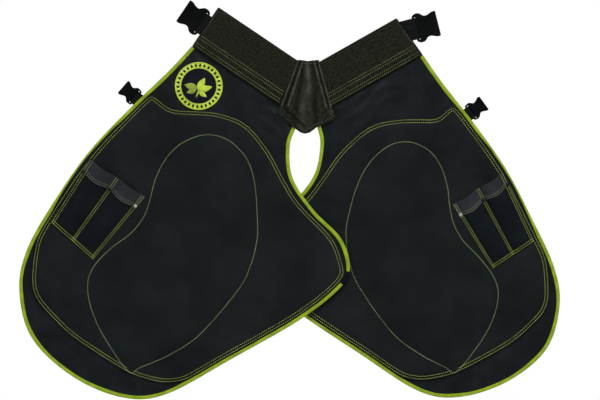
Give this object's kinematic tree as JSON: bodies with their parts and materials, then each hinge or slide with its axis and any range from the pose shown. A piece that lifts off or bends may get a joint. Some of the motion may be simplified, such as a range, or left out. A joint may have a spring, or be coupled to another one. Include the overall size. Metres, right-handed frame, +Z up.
{
  "type": "split-leg protective work apron",
  "caption": "Split-leg protective apron with a split waistband, padded leg panels, bound edges, tool pockets and side-release buckle sockets.",
  "frame": {"origin": "middle of the top edge of the centre gusset, in the mid plane of the waistband", "axes": "+X towards the wearer's left, seen on the right from the front; +Z up; the front faces -Y"},
  "size_m": [0.9994, 0.0417, 0.7353],
  "materials": {
    "waist_elastic": "woven, matt",
    "elastic_core": "matt",
    "waist_tape": "ribbed tape",
    "base_canvas": "coated canvas, matt",
    "lime_binding": "ribbed",
    "hidden_felt_pad": "felt",
    "overlay_suede": "napped, matt",
    "pocket_canvas": "matt",
    "pocket_hem_fabric": "matt",
    "black_rivet": "satin",
    "black_webbing": "woven",
    "badge_patch": "embroidered",
    "label_tab": "satin weave",
    "buckle_acetal": "moulded"
  },
  "bodies": {
    "waist": {"gusset_front": "waist_elastic", "gusset_lining": "waist_elastic", "left_waistband_outer": "waist_elastic", "left_waistband_core": "elastic_core", "left_waistband_lining": "waist_elastic", "left_waistband_tape": "waist_tape", "left_waist_web_loop": "black_webbing", "right_waistband_outer": "waist_elastic", "right_waistband_core": "elastic_core", "right_waistband_lining": "waist_elastic", "right_waistband_tape": "waist_tape", "right_waist_web_loop": "black_webbing"},
    "left_leg": {"left_leg_base_panel": "base_canvas", "left_leg_binding": "lime_binding", "left_leg_pad": "hidden_felt_pad", "left_leg_overlay": "overlay_suede", "left_pocket_front": "pocket_canvas", "left_pocket_hem": "pocket_hem_fabric", "left_pocket_rivets": "black_rivet", "left_thigh_web_loop": "black_webbing", "left_badge": "badge_patch", "left_edge_label": "label_tab"},
    "right_leg": {"right_leg_base_panel": "base_canvas", "right_leg_binding": "lime_binding", "right_leg_pad": "hidden_felt_pad", "right_leg_overlay": "overlay_suede", "right_pocket_front": "pocket_canvas", "right_pocket_hem": "pocket_hem_fabric", "right_pocket_rivets": "black_rivet", "right_thigh_web_loop": "black_webbing"},
    "left_waist_buckle": {"left_waist_buckle": "buckle_acetal"},
    "left_thigh_buckle": {"left_thigh_buckle": "buckle_acetal"},
    "right_waist_buckle": {"right_waist_buckle": "buckle_acetal"},
    "right_thigh_buckle": {"right_thigh_buckle": "buckle_acetal"}
  },
  "joints": [
    {"name": "left_leg_swing", "type": "hinge", "parent": "waist", "child": "left_leg", "pos_m": [-0.04995, 0, -0.0851], "axis": [-0.829, 0, 0.5592], "range_deg": [0, 60]},
    {"name": "left_waist_buckle_swing", "type": "hinge", "parent": "waist", "child": "left_waist_buckle", "pos_m": [-0.19515, 0, 0.06712], "axis": [-0.5592, 0, -0.829], "range_deg": [-75, 75]},
    {"name": "left_thigh_buckle_swing", "type": "hinge", "parent": "left_leg", "child": "left_thigh_buckle", "pos_m": [-0.31865, -0.00036, -0.07012], "axis": [-0.6546, -0.026, -0.7556], "range_deg": [-75, 75]},
    {"name": "right_leg_swing", "type": "hinge", "parent": "waist", "child": "right_leg", "pos_m": [0.04255, 0, -0.08695], "axis": [0.8704, 0, 0.4924], "range_deg": [0, 60]},
    {"name": "right_waist_buckle_swing", "type": "hinge", "parent": "waist", "child": "right_waist_buckle", "pos_m": [0.1987, 0, 0.05769], "axis": [0.2453, 0, -0.9694], "range_deg": [-75, 75]},
    {"name": "right_thigh_buckle_swing", "type": "hinge", "parent": "right_leg", "child": "right_thigh_buckle", "pos_m": [0.3007, 0.00682, -0.09758], "axis": [0.5947, 0.026, -0.8036], "range_deg": [-75, 75]}
  ]
}
